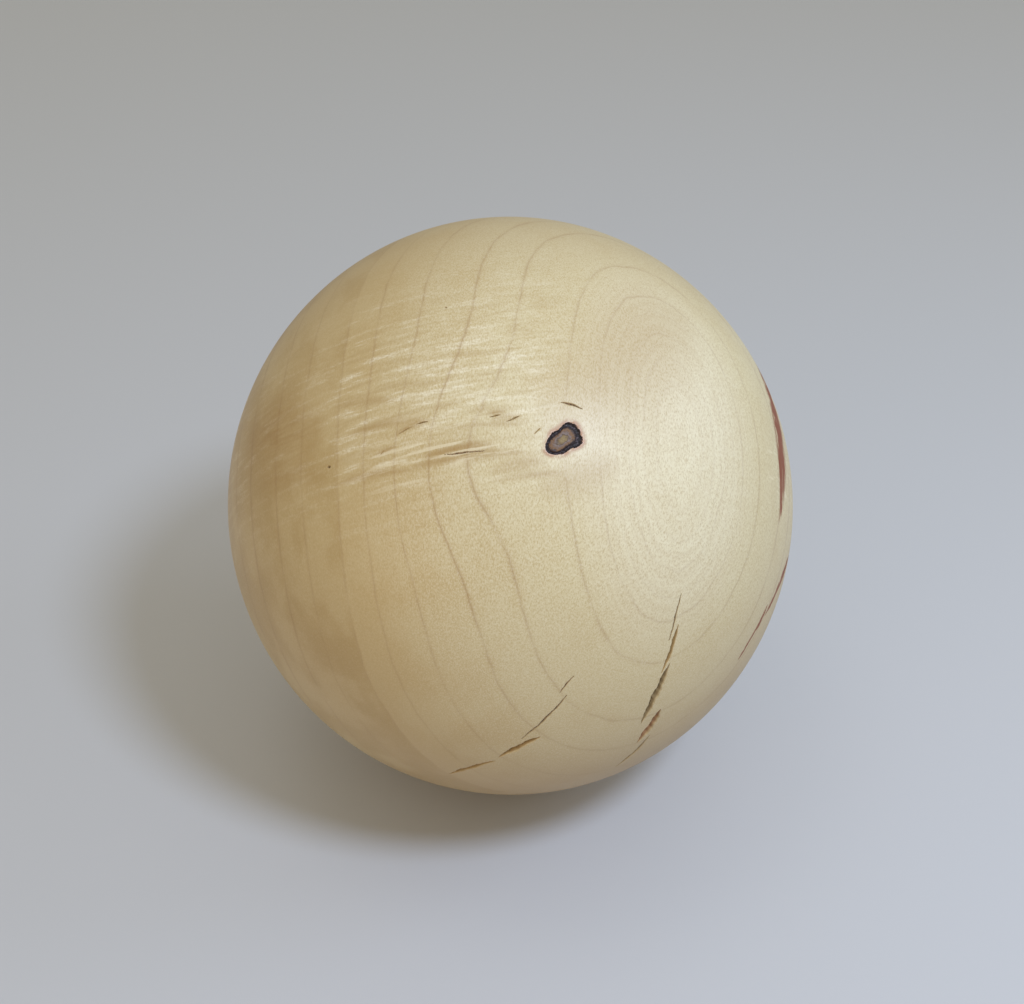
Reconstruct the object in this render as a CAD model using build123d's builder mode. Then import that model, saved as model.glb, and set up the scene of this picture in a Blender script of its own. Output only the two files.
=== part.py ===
"""A wooden ball, turned from one block of pale maple with a small knot in it.

The ball is a hair longer along the grain than across it, because wood shrinks across its grain as it dries.
Its drying checks and the sunken bark ring of its knot are cut into the solid.
Sizes are in millimetres and angles in degrees. The origin is the ball's centre and +Z is up.
"""
from build123d import *
from math import sqrt
import os

# Driving dimensions
ACROSS = 100.0          # diameter across the grain
DRIED_LONGER = 2.4      # how much longer the ball is along the grain
ALONG = ACROSS + DRIED_LONGER
GRAIN_TURN = 96.0       # the grain's heading about Z, counted from +X
GRAIN_RISE = 43.0       # how far the grain climbs from level

# The knot: an oval of dead branch wood in a ring of bark that has shrunk below the surface
KNOT_TURN = -76.5
KNOT_RISE = 47.0
KNOT_LEAN = 28.0        # its long axis, turned up from level
KNOT_LENGTH = 6.2
KNOT_WIDTH = 4.2
BARK_WIDTH = 0.7
BARK_DEPTH = 0.5
KNOT_RECESS = 0.15      # the branch wood stands this far below the ball's surface

# The drying checks, each as (turn, rise, lean, length, width): where its middle lies, how far it
# leans up from level, how long it is and how wide it gapes at its middle
RIGHT_CHECKS = (
    (-58.5, 11.0, 70.0, 8.0, 0.35),
    (-60.0, 4.5, 69.0, 8.5, 0.45),
    (-62.5, -5.5, 72.0, 12.0, 1.0),
    (-62.5, -14.5, 69.0, 7.5, 0.7),
    (-64.0, -22.5, 66.0, 9.0, 0.6),
)
LEFT_CHECKS = (
    (-80.0, 2.5, 51.0, 4.0, 0.3),
    (-84.0, -5.0, 52.0, 11.5, 0.45),
    (-88.0, -13.0, 40.0, 7.0, 0.4),
    (-98.0, -22.5, 42.0, 10.0, 0.3),
)
KNOT_CHECKS = (
    (-72.5, 52.5, -29.0, 3.6, 0.35),
    (-94.0, 51.5, -11.0, 2.2, 0.25),
)
CHECK_DEPTH_RATIO = 2.5     # a check is this many times as deep as it is wide
CHECK_FLOOR_LENGTH = 0.6    # its floor, as a share of its length at the surface
CHECK_FLOOR_WIDTH = 0.1     # and as a share of its width there
CUT_RISE = 0.5              # every cut starts this far outside the surface


def direction(turn, rise):
    """The unit vector that heads `turn` degrees round Z from +X and climbs `rise` degrees from level."""
    return Vector(1, 0, 0).rotate(Axis.Y, -rise).rotate(Axis.Z, turn)


def radius_towards(heading):
    """The distance from the ball's centre to its surface along a unit vector."""
    along = heading.dot(GRAIN)
    return 1 / sqrt((along / (ALONG / 2)) ** 2 + (1 - along**2) / (ACROSS / 2) ** 2)


def touching_plane(turn, rise, lean):
    """The plane that touches the ball at a direction, with its X leaning `lean` degrees up from level."""
    outward = direction(turn, rise)
    level = Vector(0, 0, 1).cross(outward).normalized()
    leaning = level.rotate(Axis((0, 0, 0), outward), lean)
    return Plane(origin=outward * radius_towards(outward), x_dir=leaning, z_dir=outward)


GRAIN = direction(GRAIN_TURN, GRAIN_RISE)
MERIDIAN = Plane(origin=(0, 0, 0), x_dir=GRAIN, z_dir=GRAIN.cross(Vector(0, 0, 1)))

with BuildPart() as ball:
    # The turned form: half an ellipse, in two arcs that meet at the widest place, spun round the grain
    with BuildSketch(MERIDIAN):
        with BuildLine():
            Line((ALONG / 2, 0), (-ALONG / 2, 0))
            EllipticalCenterArc((0, 0), ALONG / 2, ACROSS / 2, start_angle=0, arc_size=90)
            EllipticalCenterArc((0, 0), ALONG / 2, ACROSS / 2, start_angle=90, arc_size=90)
        make_face()
    revolve(axis=Axis((0, 0, 0), GRAIN), revolution_arc=360)

    # Each check is a slit with pointed ends, which narrows to a thin, shorter floor
    for turn, rise, lean, length, width in RIGHT_CHECKS + LEFT_CHECKS + KNOT_CHECKS:
        surface = touching_plane(turn, rise, lean)
        mouth = (CUT_RISE, length / 2, width / 2)
        floor = (
            -CHECK_DEPTH_RATIO * width,
            CHECK_FLOOR_LENGTH * length / 2,
            CHECK_FLOOR_WIDTH * width / 2,
        )
        for height, half_length, half_width in (mouth, floor):
            with BuildSketch(surface.offset(height)):
                with BuildLine():
                    ThreePointArc((-half_length, 0), (0, half_width), (half_length, 0))
                    ThreePointArc((half_length, 0), (0, -half_width), (-half_length, 0))
                make_face()
        loft(mode=Mode.SUBTRACT)

    # The whole knot sits a little low, and its bark ring is a groove round it
    knot_surface = touching_plane(KNOT_TURN, KNOT_RISE, KNOT_LEAN)
    with BuildSketch(knot_surface.offset(CUT_RISE)):
        Ellipse(KNOT_LENGTH / 2, KNOT_WIDTH / 2)
    extrude(amount=-(CUT_RISE + KNOT_RECESS), mode=Mode.SUBTRACT)
    with BuildSketch(knot_surface.offset(CUT_RISE)):
        Ellipse(KNOT_LENGTH / 2, KNOT_WIDTH / 2)
        Ellipse(KNOT_LENGTH / 2 - BARK_WIDTH, KNOT_WIDTH / 2 - BARK_WIDTH, mode=Mode.SUBTRACT)
    extrude(amount=-(CUT_RISE + BARK_DEPTH), mode=Mode.SUBTRACT)

ball.part.label = "ball"
os.makedirs("parts", exist_ok=True)
export_step(ball.part, "parts/ball.step")
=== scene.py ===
"""A ball turned from pale maple, with a dead knot, growth rings, rippled figure and drying checks."""
from functools import partial

import bmesh
import bpy
import numpy as np
from mathutils import Matrix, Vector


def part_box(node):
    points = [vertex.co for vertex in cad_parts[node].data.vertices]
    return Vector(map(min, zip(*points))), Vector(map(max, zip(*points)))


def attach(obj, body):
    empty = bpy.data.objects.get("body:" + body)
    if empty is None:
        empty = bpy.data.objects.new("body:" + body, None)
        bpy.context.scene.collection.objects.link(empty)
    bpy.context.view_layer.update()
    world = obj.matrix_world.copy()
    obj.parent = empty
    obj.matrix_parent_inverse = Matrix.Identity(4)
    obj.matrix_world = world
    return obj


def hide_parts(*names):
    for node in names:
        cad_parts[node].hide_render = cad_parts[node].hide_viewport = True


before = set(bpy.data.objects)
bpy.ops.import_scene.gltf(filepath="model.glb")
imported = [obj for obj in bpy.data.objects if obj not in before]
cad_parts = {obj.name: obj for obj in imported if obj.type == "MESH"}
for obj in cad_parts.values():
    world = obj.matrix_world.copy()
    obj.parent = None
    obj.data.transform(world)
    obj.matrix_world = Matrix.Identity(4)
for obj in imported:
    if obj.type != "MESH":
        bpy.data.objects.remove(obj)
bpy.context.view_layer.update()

MM = 0.001               # lengths below are in millimetres, angles in degrees


def heading(turn, rise):
    """Unit vector that turns `turn` degrees about Z from +X and climbs `rise` degrees from level."""
    turn, rise = np.radians(turn), np.radians(rise)
    return np.array([np.cos(turn) * np.cos(rise), np.sin(turn) * np.cos(rise), np.sin(rise)])


def unit(vector):
    """The vector, or each row of an array of vectors, scaled to length 1."""
    return vector / np.linalg.norm(vector, axis=-1, keepdims=True)


# ---- The ball's form -------------------------------------------------------------------------

GRAIN = heading(96.0, 43.0)          # the ball is a little longer along this line


def ball_radii():
    """Half the ball's diameter across and along the grain, from its box in the frame.

    A spheroid's half size along an axis, squared, is across^2 + (along^2 - across^2) g^2, where g is
    the axis's share of the grain direction, so a straight line through the three axes gives both.
    """
    low, high = (np.array(corner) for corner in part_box("ball"))
    gain, across_squared = np.polyfit(GRAIN**2, ((high - low) / 2 / MM) ** 2, 1)
    return across_squared**0.5, (across_squared + gain) ** 0.5


ACROSS, ALONG = ball_radii()


def form_radius(out):
    """Distance from the centre to the turned form along each unit vector: the spheroid's equation."""
    along = out @ GRAIN
    return ((along / ALONG) ** 2 + (1 - along**2) / ACROSS**2) ** -0.5


def place(points, turn, rise, lean):
    """Coordinates of surface points about a spot on the ball: along the lean, across it, and outward.

    The spot lies towards heading(turn, rise), and the lean is counted up from level.
    """
    out = heading(turn, rise)
    level = unit(np.cross([0.0, 0.0, 1.0], out))
    climb = np.cross(out, level)
    lean = np.radians(lean)
    along = np.cos(lean) * level + np.sin(lean) * climb
    away = points - form_radius(out[None])[0] * out
    return away @ along, away @ np.cross(out, along), away @ out


# ---- The checks, knot and stains on it -------------------------------------------------------

# Each check, crack or pit: turn, rise, lean, length, width, bow of its line, tone of its inside
# (0 golden, 0.5 grey-brown, 1 red-brown)
CHECKS = (
    (-58.9, 10.8, 69, 8.6, 0.30, 0.12, 0.60),
    (-60.3, 4.7, 69, 9.0, 0.74, -0.20, 0.10),
    (-62.7, -5.1, 71, 12.8, 1.30, 0.25, 0.42),
    (-62.9, -14.0, 69, 8.6, 1.50, -0.15, 1.00),
    (-64.6, -22.4, 65, 10.5, 0.62, -0.35, 0.60),
    (-80.2, 2.6, 52, 4.8, 0.22, 0.08, 0.75),
    (-84.0, -4.9, 53, 12.6, 0.34, -0.15, 0.62),
    (-88.3, -12.9, 41, 8.8, 1.10, 0.25, 0.10),
    (-97.6, -21.5, 42, 11.0, 0.75, 0.45, 0.08),
    (-72.6, 52.4, -29, 3.9, 0.34, 0.18, 0.80),
    (-94.1, 51.4, 18, 2.0, 0.22, 0.00, 0.25),
    (-89.2, 51.0, 22, 2.3, 0.24, -0.05, 0.35),
    (-82.9, 48.6, 39, 1.5, 0.20, 0.00, 0.20),
    (-113.4, 48.4, 29, 2.2, 0.24, 0.05, 0.25),
    (-117.1, 46.4, 42, 3.0, 0.16, 0.05, 0.15),
    (-121.0, 41.5, 58, 1.1, 0.18, 0.00, 0.15),
    (-101.0, 44.7, 12, 7.0, 0.25, -0.10, 0.80),
    (-132.9, 35.4, 20, 0.7, 0.40, 0.00, 0.30),
    (-127.0, 70.8, 0, 0.4, 0.26, 0.00, 0.40),
)
THINNEST = 0.03                      # a check closes where half its width is less
DEPTH_PER_WIDTH = 0.9                # torn fibre fills the rest of a check's depth

KNOT = (-76.6, 46.8, 28.0)           # turn, rise and lean of the knot's long axis
# Radii of the bark's outer edge and of the branch wood inside it, every 30 degrees round the knot
BARK_RADII = (2.90, 2.84, 1.95, 1.60, 1.95, 2.48, 3.18, 2.60, 2.12, 1.84, 2.62, 2.90)
CORE_RADII = (1.98, 1.92, 1.42, 1.12, 1.30, 2.00, 2.62, 2.04, 1.30, 1.15, 1.42, 1.86)
HALO_WIDTH = 0.8                     # the stained rim in the wood round the bark
BARK_SINK = 0.38                     # how far the bark has shrunk below the surface
CORE_SINK = 0.12                     # and the branch wood inside it
CORE_WALL = 0.2                      # the sunk wood's edge slopes over this share of the bark's width
CORE_ROUGHNESS = 0.05

# Golden streaks with soft edges: turn, rise, lean, length, width, bow and strength
GOLDEN_MARKS = (
    (-102.3, 44.8, 17, 11.2, 1.9, 0.2, 0.95),
    (-100.0, 43.6, 13, 18.0, 1.7, 0.4, 0.70),
    (-88.0, 42.6, 8, 9.0, 2.0, 0.3, 0.42),
    (-121.6, 36.8, 28, 14.0, 1.0, 0.4, 0.65),
    (-122.8, 46.0, 29, 13.5, 1.4, 0.4, 0.60),
    (-120.1, 42.0, 40, 3.8, 0.9, 0.1, 0.70),
    (-93.8, 51.9, 11, 3.0, 0.8, 0.1, 0.80),
    (-91.0, 51.0, 9, 5.2, 1.1, 0.2, 0.50),
    (-97.8, 49.4, 8, 13.0, 0.8, 0.3, 0.40),
    (-115.3, 47.5, 35, 6.2, 1.0, 0.2, 0.70),
    (-85.9, 40.8, 4, 11.6, 1.1, 0.3, 0.50),
    (-132.2, 48.2, 29, 11.5, 1.7, 0.3, 0.45),
    (-153.0, 34.0, 31, 24.0, 12.0, 0.0, 0.70),
    (-143.0, 28.5, 33, 18.0, 5.0, 0.5, 0.40),
)
# Broad warm tints, in the same terms. The first, over the underside, is partly the wood's own tone and partly
# painted shade
TINTS_AND_SHADE = (
    # Partly painted shade: this broad tint makes the underside darker and warmer
    (-60.0, -34.0, 20, 84.0, 48.0, 0.0, 0.70),
    (-93.0, 0.0, 10, 76.0, 44.0, 0.0, 0.12),
    (-32.0, 6.0, 80, 66.0, 28.0, 0.0, 0.12),
    (95.0, 76.0, 0, 80.0, 50.0, 0.0, 0.36),
    (-48.0, 57.0, 12, 38.0, 20.0, 1.0, 0.42),
    (-74.0, 40.0, 10, 14.0, 6.0, 0.0, 0.36),
)
# Red-brown mineral stains, in the same terms
MINERAL_MARKS = (
    (-8.0, 22.8, 29, 34.0, 5.8, 0.6, 1.00),
    (-21.5, -1.2, 6, 10.0, 2.8, 0.1, 1.00),
    (-28.4, -2.9, 20, 7.0, 1.4, 0.1, 1.00),
    (-33.3, -3.6, 44, 5.4, 1.3, 0.0, 1.00),
    (-35.8, -5.1, 38, 5.0, 0.8, 0.0, 0.90),
    (-38.8, -7.5, 45, 5.4, 0.9, 0.0, 0.90),
)

NARROW = 3.0                         # golden streaks narrower than this get a finer mesh, as stains do
FINE_MARKS = tuple(mark for mark in GOLDEN_MARKS if mark[4] < NARROW) + MINERAL_MARKS

# Mesh spacing on the checks and the knot, on the narrow marks and on the plain form
FINE, MEDIUM, COARSE = 0.125, 0.4375, 1.7
SPREAD = 0.35                        # the spacing grows by this share of the way from a feature
CHECK_MARGIN, MARK_MARGIN = 0.3, 0.4  # how much wider than the feature its own spacing reaches


def check_shape(points, turn, rise, lean, length, width, bow):
    """How far into a check each point lies, from 0 at its lip to 1 on its middle line, and its half width.

    With x running from -1 to 1 along it, its middle line is bow (1 - x^2) plus two slow sines, and its
    half width is width / 2 (1 - x^2)^0.85, which swells and thins a little by two more sines.
    """
    along, across, outward = place(points, turn, rise, lean)
    x = 2 * along / length
    phase = turn + 2 * rise
    middle = bow * (1 - x**2) + 0.05 * np.sin(1.3 * along + phase) + 0.02 * np.sin(4.3 * along)
    swell = 1 + 0.16 * np.sin(1.7 * along + 3 * phase) + 0.06 * np.sin(4.9 * along + phase)
    half = width / 2 * np.clip(1 - x**2, 0, 1) ** 0.85 * swell
    inside = np.clip(1 - np.abs(across - middle) / np.maximum(half, 1e-6), 0, 1)
    on_this_side = np.abs(outward) < ACROSS / 10
    return inside * ((half > THINNEST) & on_this_side), half


def check_distance(points, turn, rise, lean, length, width):
    """Distance from each point to a check's middle line, less half the check's width."""
    along, across, outward = place(points, turn, rise, lean)
    past = np.maximum(np.abs(along) - length / 2, 0)
    return np.sqrt(past**2 + across**2 + outward**2) - width / 2


def round_the_knot(radii, angle):
    """The smooth closed curve through twelve radii: their own Fourier series, read at each angle."""
    waves = np.fft.rfft(radii) / len(radii)
    weight = np.where((np.arange(len(waves)) % (len(radii) // 2)) == 0, 1, 2)
    turns = np.exp(1j * angle[:, None] * np.arange(len(waves)))
    return (turns * waves * weight).real.sum(axis=1)


def knot_ring(points):
    """Where each point lies in the knot: 0 at its middle, 1 at the branch wood's edge, 2 at the bark's
    outer edge and 3 at the halo's, growing evenly beyond."""
    along, across, outward = place(points, *KNOT)
    away, angle = np.hypot(along, across), np.arctan2(across, along)
    core = round_the_knot(CORE_RADII, angle)
    bark = round_the_knot(BARK_RADII, angle)
    ring = np.select(
        [away < core, away < bark],
        [away / core, 1 + (away - core) / (bark - core)],
        2 + (away - bark) / HALO_WIDTH,
    )
    return np.where(outward > -ACROSS / 5, ring, ACROSS)


def stain(points, marks):
    """How strongly the marks stain each point: a bell exp(-a^2) across each mark's bowed line. Both its
    width and its strength fall off to nothing at the ends as the square root of 1 - x^2. Where two marks
    meet they give 1 - (1 - a)(1 - b)."""
    stained = np.zeros(len(points))
    for turn, rise, lean, length, width, bow, strength in marks:
        along, across, outward = place(points, turn, rise, lean)
        taper = np.clip(1 - (2 * along / length) ** 2, 0, 1)
        away = (across - bow * taper) / (width / 2 * taper**0.5 + 1e-6)
        mark = strength * np.exp(-(away**2)) * taper**0.5 * (outward > -ACROSS)
        stained += mark * (1 - stained)
    return stained


def spacing(out):
    """The mesh spacing wanted at each unit vector: fine on a feature, and wider with the distance to it."""
    points = out * form_radius(out)[:, None]
    away = np.full(len(points), 2 * ACROSS)
    for turn, rise, lean, length, width, _, _ in CHECKS:
        near = check_distance(points, turn, rise, lean, length, width + CHECK_MARGIN)
        away = np.minimum(away, near)
    away = np.minimum(away, (knot_ring(points) - 3) * HALO_WIDTH)
    wanted = FINE + SPREAD * np.maximum(away, 0)
    for turn, rise, lean, length, width, _, _ in FINE_MARKS:
        near = check_distance(points, turn, rise, lean, length, width + MARK_MARGIN)
        wanted = np.minimum(wanted, MEDIUM + SPREAD * np.maximum(near, 0))
    return np.minimum(wanted, COARSE)


def halve_long_edges(out, triangles):
    """One pass over a mesh on the unit sphere: each edge longer than the spacing wanted at its middle
    gets a point there, and each triangle becomes 1 to 4, by how many of its edges were halved."""
    edges = np.sort(triangles[:, [[0, 1], [1, 2], [2, 0]]], axis=2).reshape(-1, 2)
    edges, index = np.unique(edges, axis=0, return_inverse=True)
    middle = unit(out[edges].mean(axis=1))
    length = np.linalg.norm(out[edges[:, 0]] - out[edges[:, 1]], axis=1) * ACROSS
    halve = length > spacing(middle)
    number = np.full(len(edges), -1)
    number[halve] = len(out) + np.arange(halve.sum())
    new = number[index.reshape(-1, 3)]
    count = (new >= 0).sum(axis=1)
    # turn each triangle so that its halved edges come first
    first = np.select([count == 1, count == 2], [(new >= 0).argmax(axis=1), (new < 0).argmax(axis=1) + 1])
    order = (first[:, None] + np.arange(3)) % 3
    (a, b, c), (p, q, r) = (np.take_along_axis(m, order, axis=1).T for m in (triangles, new))
    cases = (
        (0, ((a, b, c),)),
        (1, ((a, p, c), (p, b, c))),
        (2, ((a, p, c), (p, q, c), (p, b, q))),
        (3, ((a, p, r), (p, b, q), (r, q, c), (p, q, r))),
    )
    pieces = [np.stack(corners, axis=1)[count == n] for n, made in cases for corners in made]
    return np.vstack([out, middle[halve]]), np.vstack(pieces), bool(halve.any())


def ball_mesh():
    """The ball as one closed mesh with its relief, and with what its material reads on each point.

    Every point lies at (form radius - relief) along its own unit vector, so nothing folds over. A check's
    relief is its depth times (how far into it the point lies)^0.7. The bark's is a half sine across its
    ring, roughened by the product of two sines, and the branch wood is level, with a sloped edge.
    """
    start = bmesh.new()
    bmesh.ops.create_icosphere(start, subdivisions=3, radius=1.0)
    out = unit(np.array([v.co[:] for v in start.verts]))
    triangles = np.array([[v.index for v in f.verts] for f in start.faces])
    start.free()
    more = True
    while more:
        out, triangles, more = halve_long_edges(out, triangles)

    points = out * form_radius(out)[:, None]
    relief = np.zeros(len(points))
    open_share, tone = np.zeros(len(points)), np.zeros(len(points))
    for turn, rise, lean, length, width, bow, check_tone in CHECKS:
        inside, half = check_shape(points, turn, rise, lean, length, width, bow)
        deeper = inside > open_share
        tone = np.where(deeper, check_tone, tone)
        open_share = np.maximum(open_share, inside)
        relief = np.maximum(relief, 2 * DEPTH_PER_WIDTH * half * inside**0.7)

    ring = knot_ring(points)
    bark = np.clip(ring - 1, 0, 1)
    x, y, z = points.T
    crumble = 0.5 + 0.5 * np.sin(9.1 * x + 4 * np.sin(7.3 * z)) * np.cos(8.7 * y)
    relief = np.maximum(relief, CORE_SINK * np.clip((2 - ring) / CORE_WALL, 0, 1))
    relief += BARK_SINK * np.sin(np.pi * bark) ** 0.7 * (0.5 + 0.5 * crumble) * (ring < 2)
    relief += CORE_ROUGHNESS * crumble * (ring < 1)

    mesh = bpy.data.meshes.new("turned_ball")
    surface = out * (form_radius(out) - relief)[:, None] * MM
    mesh.from_pydata(surface, [], triangles)
    read = {
        "check": open_share, "check_tone": tone, "knot": ring,
        "golden": stain(points, GOLDEN_MARKS), "mineral": stain(points, MINERAL_MARKS),
        "tint_and_shade": stain(points, TINTS_AND_SHADE),
    }
    for name, values in read.items():
        mesh.attributes.new(name, "FLOAT", "POINT").data.foreach_set("value", values.astype(np.float32))
    mesh.shade_smooth()
    return mesh


# ---- The wood --------------------------------------------------------------------------------

def linear(colour):
    """An sRGB hex colour as linear red, green, blue and alpha."""
    levels = np.array([int(colour[i:i + 2], 16) for i in (1, 3, 5)]) / 255
    lit = np.where(levels <= 0.04045, levels / 12.92, ((levels + 0.055) / 1.055) ** 2.4)
    return (*lit.tolist(), 1.0)


def add(tree, kind, inputs=None, output=0, **settings):
    """Adds a node: sets its properties, then sets or links its inputs by name or place, and returns
    one of its outputs."""
    node = tree.nodes.new("ShaderNode" + kind)
    for name, value in settings.items():
        setattr(node, name, value)
    for name, value in (inputs or {}).items():
        if isinstance(value, bpy.types.NodeSocket):
            tree.links.new(value, node.inputs[name])
        else:
            node.inputs[name].default_value = value
    return node.outputs[output]


def material_tree(name):
    """A new material with an empty node tree."""
    material = bpy.data.materials.new(name)
    material.use_nodes = True
    material.node_tree.nodes.clear()
    return material, material.node_tree


# The pith, the tree's centre line, runs outside the ball
PITH_LINE = heading(91.0, 41.0)
PITH_AWAY = 64.4 * heading(-46.5, 40.5)
PITH_SPOT = PITH_AWAY - (PITH_AWAY @ PITH_LINE) * PITH_LINE
BRANCH_FALL = 0.15                   # the dead branch drops this much for each millimetre outwards

# Growth rings: distance from the pith, softness and strength of the line
RINGS = (
    (15.6, 0.10, 0.20), (16.6, 0.08, 0.35), (17.3, 0.06, 0.25), (18.0, 0.08, 0.40), (19.7, 0.08, 0.30),
    (21.4, 0.10, 0.70), (25.6, 0.14, 0.75), (34.0, 0.17, 0.95), (40.6, 0.18, 1.00), (48.8, 0.16, 0.85),
    (56.0, 0.16, 0.70), (61.5, 0.15, 0.60), (68.5, 0.16, 0.50), (74.5, 0.16, 0.70), (81.0, 0.18, 0.75),
    (86.5, 0.16, 0.60), (93.0, 0.16, 0.75), (98.0, 0.14, 0.60), (104.0, 0.14, 0.75), (108.5, 0.12, 0.70),
    (112.5, 0.10, 0.60),
)


def maple():
    """Pale maple, turned, sanded fine and waxed: cream sapwood with thin tan ring lines, a silky ripple
    across the grain near the knot whose light bands are a painted sheen, and a soft sheen with no sharp
    reflections."""
    material, tree = material_tree("waxed_maple")
    node = partial(add, tree)
    mix = partial(node, "Mix", output=2, data_type="RGBA")

    # Millimetres in the tree's own frame: X out from the pith towards the knot, Z along the grain
    knot_out = heading(*KNOT[:2]) * ACROSS - PITH_SPOT
    tree_z = PITH_LINE
    tree_x = unit(knot_out - (knot_out @ tree_z) * tree_z)
    axes = np.stack([tree_x, np.cross(tree_z, tree_x), tree_z], axis=1)
    knot_radius, knot_height = float(knot_out @ tree_x), float(knot_out @ tree_z)
    place_in_tree = node(
        "Mapping",
        {
            "Vector": node("TexCoord", output="Object"),
            "Location": (PITH_SPOT * MM).tolist(),
            "Rotation": Matrix(axes.tolist()).to_euler(),
            "Scale": (MM, MM, MM),
        },
        vector_type="TEXTURE",
    )
    split = node("SeparateXYZ", {0: place_in_tree}).node
    towards_knot, sideways, height = split.outputs
    flat = node("VectorMath", {0: place_in_tree, 1: (1, 1, 0)}, operation="MULTIPLY")
    from_pith = node("VectorMath", {0: flat}, output=1, operation="LENGTH")

    def bell(value, centre, width):
        """exp(-((value - centre) / width)^2)"""
        scaled = node("Math", {0: value, 1: -centre}, operation="ADD")
        scaled = node("Math", {0: scaled, 1: 1 / width}, operation="MULTIPLY")
        square = node("Math", {0: scaled, 1: scaled}, operation="MULTIPLY")
        minus = node("Math", {0: square, 1: -1}, operation="MULTIPLY")
        return node("Math", {0: minus}, operation="EXPONENT")

    def times(*values):
        """The product of the values."""
        product = values[0]
        for value in values[1:]:
            product = node("Math", {0: product, 1: value}, operation="MULTIPLY")
        return product

    def stretch(across, along):
        """Coordinates that run once over `across` mm across the grain and over `along` mm along it."""
        return node("VectorMath", {0: place_in_tree, 1: (1 / across, 1 / across, 1 / along)},
                    operation="MULTIPLY")

    def mapped(value, low, high, to_low=0.0, to_high=1.0, kind="SMOOTHSTEP"):
        """The value carried from one range to another, and held at its ends."""
        return node("MapRange", {0: value, 1: low, 2: high, 3: to_low, 4: to_high},
                    interpolation_type=kind)

    # Height above the line that the branch took, and how strongly the grain bends round that line
    above_branch = node("Math", {0: from_pith, 1: BRANCH_FALL, 2: height}, operation="MULTIPLY_ADD")
    above_branch = node(
        "Math", {0: above_branch, 1: -knot_height - BRANCH_FALL * knot_radius}, operation="ADD")
    bulge = times(bell(above_branch, 0, 14.5), bell(sideways, 0, 15), bell(from_pith, 42, 10.5), 7.2)

    # Rippled figure: bands across the grain, strongest above the knot's level on its outer side
    band_place = node("CombineXYZ", {
        0: times(from_pith, 1 / 9), 1: times(sideways, 1 / 7), 2: times(above_branch, 1 / 1.15),
    })
    ripple = node("TexNoise", {"Vector": band_place, "Scale": 1.0, "Detail": 4.0, "Roughness": 0.55})
    silk = node("TexNoise", {"Vector": stretch(1.0, 0.24), "Scale": 1.0, "Detail": 2.0, "Roughness": 0.6})
    rippled = times(mapped(from_pith, 22, 32), bell(above_branch, 13, 15), mapped(from_pith, 66, 58, 0.35, 1),
                    mapped(towards_knot, 0, 12))

    # Growth rings: thin lines at set distances from the pith, which bulge outwards over the branch
    wander = node("TexNoise", {"Vector": stretch(22, 60), "Scale": 1.0, "Detail": 2.0})
    shiver = node("TexNoise", {"Vector": stretch(2.5, 4), "Scale": 1.0, "Detail": 3.0})
    ring_place = node("Math", {0: from_pith, 1: bulge}, operation="SUBTRACT")
    ring_place = node("Math", {0: wander, 1: 2.4, 2: ring_place}, operation="MULTIPLY_ADD")
    ring_place = node("Math", {0: shiver, 1: 0.60, 2: ring_place}, operation="MULTIPLY_ADD")
    ring_place = node("Math", {0: times(ripple, rippled), 1: 0.8, 2: ring_place}, operation="MULTIPLY_ADD")
    ring_place = node("Math", {0: ring_place, 1: 1.2 + 0.3}, operation="SUBTRACT")
    lines = 0.0
    for radius, softness, strength in RINGS:
        away = node("Math", {0: ring_place, 1: radius}, operation="SUBTRACT")
        away = node("Math", {0: away}, operation="ABSOLUTE")
        line = node("Math", {0: times(away, -1 / softness)}, operation="EXPONENT")
        lines = node("Math", {0: line, 1: strength, 2: lines}, operation="MULTIPLY_ADD")
    worn = node("TexNoise", {"Vector": stretch(5, 9), "Scale": 1.0, "Detail": 3.0, "Roughness": 0.6})
    knot = node("Attribute", {}, output="Fac", attribute_name="knot")
    lines = times(lines, mapped(worn, 0.33, 0.60, 0.35, 1.0), mapped(knot, 4, 12, 0.15, 1.0))
    lines = times(lines, mapped(height, -46, -20, 0.65, 1.0))
    fine_rings = node("TexNoise", {"W": times(ring_place, 1 / 0.75), "Scale": 1.0, "Detail": 3.0},
                      noise_dimensions="1D")

    # Pale wood that turns golden towards the outer rings and in soft patches. The paler wood near the ring
    # centre, on the lit side, is partly the wood's own tone and partly a painted highlight; the golden outer
    # wood, on the side away from the key lamp, is partly its own tone and partly painted warm shade
    patches = node("TexNoise", {"Vector": stretch(9, 13), "Scale": 1.0, "Detail": 3.0, "Roughness": 0.55})
    # Partly painted warm shade: golden towards the outer rings, on the side away from the key lamp
    golden = mapped(from_pith, 30, 64)
    golden = node("Math", {0: mapped(patches, 0.40, 0.68, -0.1, 0.22), 1: golden}, operation="ADD")
    wood = mix({0: golden, 6: linear("#dacca2"), 7: linear("#c9b280")})
    # Partly a painted highlight: the wood is made paler towards the ring centre, which faces the lamps
    wood = mix({0: mapped(from_pith, 28, 17, 0.0, 0.7), 6: wood, 7: linear("#e9dfc0")})
    outer = times(mapped(ring_place, 61.0, 62.0), mapped(patches, 0.35, 0.65, 0.1, 0.45))
    wood = mix({0: outer, 6: wood, 7: linear("#a98a4e")})
    wood = mix({0: times(mapped(fine_rings, 0.40, 0.62), mapped(from_pith, 28, 19, 0.03, 0.13)),
                6: wood, 7: linear("#b89e70")})

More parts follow.
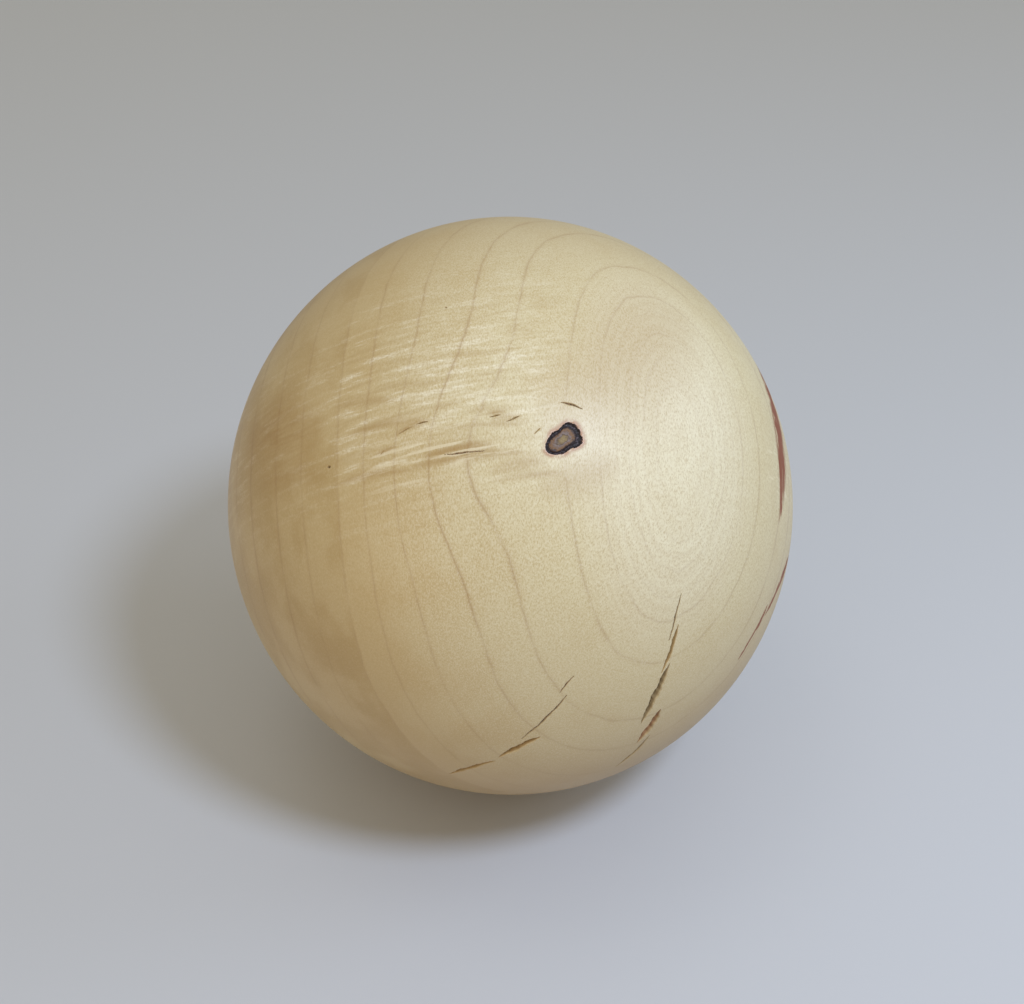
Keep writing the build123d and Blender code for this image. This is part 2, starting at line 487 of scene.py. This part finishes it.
    # Fibre fleck: short dashes along the grain. Real maple vessels are under 0.1 mm across, too fine to show,
    # so they are drawn 0.2 mm across and 0.45 mm long. The dark dashes are painted fainter lower down, where
    # the ball is in shade, and the pale dashes between them are painted glints
    fleck = node("TexNoise", {"Vector": stretch(0.20, 0.45), "Scale": 1.0, "Detail": 2.0, "Roughness": 0.7})
    shown = times(mapped(height, -42, -15, 0.55, 1.0), mapped(from_pith, 66, 44, 0.18, 0.38))
    wood = mix({0: times(mapped(fleck, 0.50, 0.66), shown), 6: wood, 7: linear("#ab8c52")})
    # Painted glints: pale dashes between the fleck, strongest near the ring centre on the lit side
    painted_glint = mapped(fleck, 0.50, 0.36)
    wood = mix({0: times(painted_glint, mapped(from_pith, 60, 40, 0.08, 0.30)), 6: wood, 7: linear("#f4edd6")})

    # The ripple's dark bands, and its light bands, which are a painted sheen flecked by the fibres
    dark_band = times(mapped(ripple, 0.48, 0.66), rippled)
    painted_sheen_band = times(mapped(ripple, 0.50, 0.34), rippled)
    wood = mix({0: times(dark_band, 0.30), 6: wood, 7: linear("#ad8f5a")})
    painted_sheen_band = times(painted_sheen_band, mapped(fleck, 0.62, 0.40, 0.55, 1.0), mapped(silk, 0.40, 0.60, 0.30, 0.90))
    wood = mix({0: painted_sheen_band, 6: wood, 7: linear("#f2e9cd")})

    # Ring lines
    wood = mix({0: times(lines, 0.46), 6: wood, 7: linear("#8f6032")})

    # Golden marks trail outwards from the knot, where the wood closed over the dead branch
    streaky = node("CombineXYZ", {
        0: times(from_pith, 1 / 9), 1: times(sideways, 1 / 3), 2: times(above_branch, 1 / 0.8),
    })
    trail = node("TexNoise", {"Vector": streaky, "Scale": 1.0, "Detail": 3.0})
    marked = node("Attribute", {}, output="Fac", attribute_name="golden")
    marked = times(marked, mapped(trail, 0.38, 0.60, 0.65, 1.0))
    wood = mix({0: times(marked, 0.80), 6: wood, 7: linear("#a07a3c")})

    # Broad warm tints, the one over the underside partly painted shade, and the pale wood between the golden
    # marks
    tint_and_shade = node("Attribute", {}, output="Fac", attribute_name="tint_and_shade")
    wood = mix({0: times(tint_and_shade, 0.85), 6: wood, 7: linear("#a07a3c")})
    pale_trail = times(mapped(trail, 0.46, 0.34), bell(above_branch, 1.5, 5.5), mapped(from_pith, 27, 31),
                       mapped(from_pith, 62, 50))
    wood = mix({0: times(pale_trail, 0.55), 6: wood, 7: linear("#eee2c0")})

    # Red-brown mineral stains
    mineral = node("Attribute", {}, output="Fac", attribute_name="mineral")
    streaks = node("TexNoise", {"Vector": stretch(0.6, 9), "Scale": 1.0, "Detail": 3.0, "Roughness": 0.6})
    mineral = times(mineral, mapped(streaks, 0.32, 0.64, 0.60, 1.35))
    mineral = mapped(mineral, 0.26, 0.74)
    wood = mix({0: times(mineral, 0.94), 6: wood, 7: linear("#82350f")})

    # The knot: grey-tan branch wood, near-black bark with painted glints, and a pinkish stained rim
    speckle = node("TexNoise", {"Vector": stretch(0.4, 0.4), "Scale": 1.0, "Detail": 4.0, "Roughness": 0.7})
    rough_knot = node("Math", {0: times(node("Math", {0: speckle, 1: 0.5}, operation="SUBTRACT"), 0.9),
                               1: knot}, operation="ADD")
    ramp = node("ValToRGB", {0: times(rough_knot, 0.25)}).node
    stops = (
        (0.00, "#94804e"), (0.08, "#7a6238"), (0.11, "#4e3a28"), (0.14, "#7d6a60"), (0.17, "#6a523e"),
        (0.20, "#7a5426"), (0.235, "#40291a"), (0.27, "#2a1d20"), (0.38, "#170f12"), (0.47, "#1d1416"),
        (0.50, "#5a3a34"), (0.513, "#e2c6b4"), (0.54, "#b98a60"), (0.60, "#a87848"), (0.75, "#b08a5a"),
    )
    while len(ramp.color_ramp.elements) < len(stops):
        ramp.color_ramp.elements.new(0.5)
    for element, (spot, colour) in zip(ramp.color_ramp.elements, stops):
        element.position = spot
        element.color = linear(colour)
    halo_patches = node("TexNoise", {"Vector": stretch(1.6, 1.6), "Scale": 1.0, "Detail": 2.0})
    halo = times(mapped(rough_knot, 3.2, 2.15), mapped(halo_patches, 0.36, 0.56, 0.25, 1.0))
    halo = node("Math", {0: halo, 1: mapped(rough_knot, 2.20, 2.08)}, operation="MAXIMUM")
    wood = mix({0: halo, 6: wood, 7: ramp.outputs[0]})
    # Painted glints: grey-mauve speckles across the bark, in place of its glossy highlights
    bark_glints = times(mapped(knot, 1.0, 1.3), mapped(knot, 1.95, 1.6), mapped(speckle, 0.52, 0.64, 0.0, 0.7))
    wood = mix({0: bark_glints, 6: wood, 7: linear("#74646c")})

    # Inside the checks: golden, grey-brown or red-brown fibres, painted darker towards the bottom as shade in
    # the recess
    check = node("Attribute", {}, output="Fac", attribute_name="check")
    tone = node("Attribute", {}, output="Fac", attribute_name="check_tone")
    inside = mix({0: mapped(tone, 0.0, 0.5, kind="LINEAR"), 6: linear("#b59560"), 7: linear("#9a8662")})
    inside = mix({0: mapped(tone, 0.5, 1.0, kind="LINEAR"), 6: inside, 7: linear("#a8805a")})
    strands = node("TexNoise", {"Vector": stretch(0.3, 0.6), "Scale": 1.0, "Detail": 3.0})
    shaded_bottom = mix({0: mapped(tone, 0.1, 0.5, kind="LINEAR"), 6: linear("#846a3e"), 7: linear("#4b371c")})
    shaded_bottom = mix({0: mapped(tone, 0.8, 1.0, kind="LINEAR"), 6: shaded_bottom, 7: linear("#7c5a3c")})
    # Painted shade: darker towards the check's middle line, where it is deepest
    deep = times(mapped(check, 0.15, 0.8), mapped(strands, 0.42, 0.56, 0.05, 0.95))
    inside = mix({0: deep, 6: inside, 7: shaded_bottom})
    wood = mix({0: mapped(check, 0.02, 0.2), 6: wood, 7: inside})

    dull = node("Math", {0: mapped(check, 0.02, 0.2), 1: mapped(knot, 2.1, 1.9)}, operation="MAXIMUM")
    dull = node("Math", {0: dull, 1: mineral}, operation="MAXIMUM")
    roughness = mapped(dull, 0, 1, 0.42, 0.75)
    relief = node("Math", {0: times(fleck, 0.018), 1: times(ripple, rippled, 0.10)}, operation="ADD")
    bump = node("Bump", {"Height": times(relief, MM), "Strength": 1.0, "Distance": 1.0})
    shader = node("BsdfPrincipled", {
        "Base Color": wood, "Roughness": roughness, "Normal": bump, "IOR": 1.46, "Coat Weight": 0.30,
        "Coat Roughness": 0.45,
    })
    out = tree.nodes.new("ShaderNodeOutputMaterial")
    tree.links.new(shader, out.inputs["Surface"])
    return material


ball_object = bpy.data.objects.new("turned_ball", ball_mesh())
bpy.context.scene.collection.objects.link(ball_object)
ball_object.data.materials.append(maple())
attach(ball_object, "root")
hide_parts("ball")


# ---- Floor, light and camera -----------------------------------------------------------------

FLOOR_RADIUS = 4.0                   # in metres, as are the lamps' distances and sizes
FLOOR_CORNERS = 96


def floor():
    """A wide disc of plain pale board under the ball, at the height that it rests on: a regular polygon."""
    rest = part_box("ball")[0][2]
    turns = np.linspace(0, 2 * np.pi, FLOOR_CORNERS, endpoint=False)
    circle = np.stack([np.cos(turns), np.sin(turns), np.zeros(FLOOR_CORNERS)], axis=1)
    mesh = bpy.data.meshes.new("floor")
    mesh.from_pydata(circle * FLOOR_RADIUS + [0, 0, rest], [], [list(range(FLOOR_CORNERS))])
    board = bpy.data.objects.new("floor", mesh)
    bpy.context.scene.collection.objects.link(board)
    # Pale laminated board, lightly coated: a flat cool grey with a faint blurred sheen at the far side
    material, tree = material_tree("pale_board")
    shader = add(tree, "BsdfPrincipled", {"Base Color": linear("#c9cbcf"), "Roughness": 0.42})
    out = tree.nodes.new("ShaderNodeOutputMaterial")
    tree.links.new(shader, out.inputs["Surface"])
    mesh.materials.append(material)
    return board


def lamp(name, turn, rise, away, size, power, colour):
    """A round soft lamp that faces the ball, with its heading in degrees and its distance and size in
    metres."""
    light = bpy.data.lights.new(name, "AREA")
    light.shape = "DISK"
    light.size = size
    light.energy = power
    light.color = linear(colour)[:3]
    lamp_object = bpy.data.objects.new(name, light)
    back = heading(turn, rise)
    side = unit(np.cross([0.0, 0.0, 1.0], back))
    axes = Matrix(np.stack([side, np.cross(back, side), back], axis=1).tolist()).to_4x4()
    lamp_object.matrix_world = Matrix.Translation((back * away).tolist()) @ axes
    bpy.context.scene.collection.objects.link(lamp_object)


def sky():
    """Even warm-white light from all round. The camera itself sees the floor's pale grey there."""
    world = bpy.data.worlds.new("studio")
    world.use_nodes = True
    tree = world.node_tree
    tree.nodes.clear()
    light = add(tree, "Background", {"Color": linear("#fffaea"), "Strength": 0.48})
    seen = add(tree, "Background", {"Color": linear("#a9abac"), "Strength": 1.0})
    shown = add(tree, "MixShader", {0: add(tree, "LightPath", output="Is Camera Ray"), 1: light, 2: seen})
    tree.links.new(shown, tree.nodes.new("ShaderNodeOutputWorld").inputs["Surface"])
    bpy.context.scene.world = world


CAMERA_PLACE = (0.0003, -0.22215, 0.16209)
CAMERA_DIP = 36.0                    # how far below level it looks, in degrees
FOCAL_LENGTH, SENSOR_WIDTH = 53.72, 36.0


def camera():
    """The camera stands in front of the ball, 0.275 m from its centre, and looks down at it."""
    lens = bpy.data.cameras.new("camera")
    lens.sensor_width = SENSOR_WIDTH
    lens.lens = FOCAL_LENGTH
    eye = bpy.data.objects.new("camera", lens)
    eye.location = CAMERA_PLACE
    eye.rotation_euler = (np.radians(90 - CAMERA_DIP), 0, 0)
    bpy.context.scene.collection.objects.link(eye)
    bpy.context.scene.camera = eye


floor()
lamp("key_lamp", -47, 55, 0.47, 0.10, 1.33, "#d4e4ff")
lamp("overhead_lamp", 172, 78, 0.60, 0.20, 0.12, "#ffffff")
lamp("window_lamp", 6, 31, 0.70, 0.30, 0.68, "#cfe0ff")
lamp("warm_lamp", -128, 12, 0.70, 0.50, 0.55, "#ffc88c")
sky()
camera()
bpy.context.scene.view_settings.view_transform = "Standard"
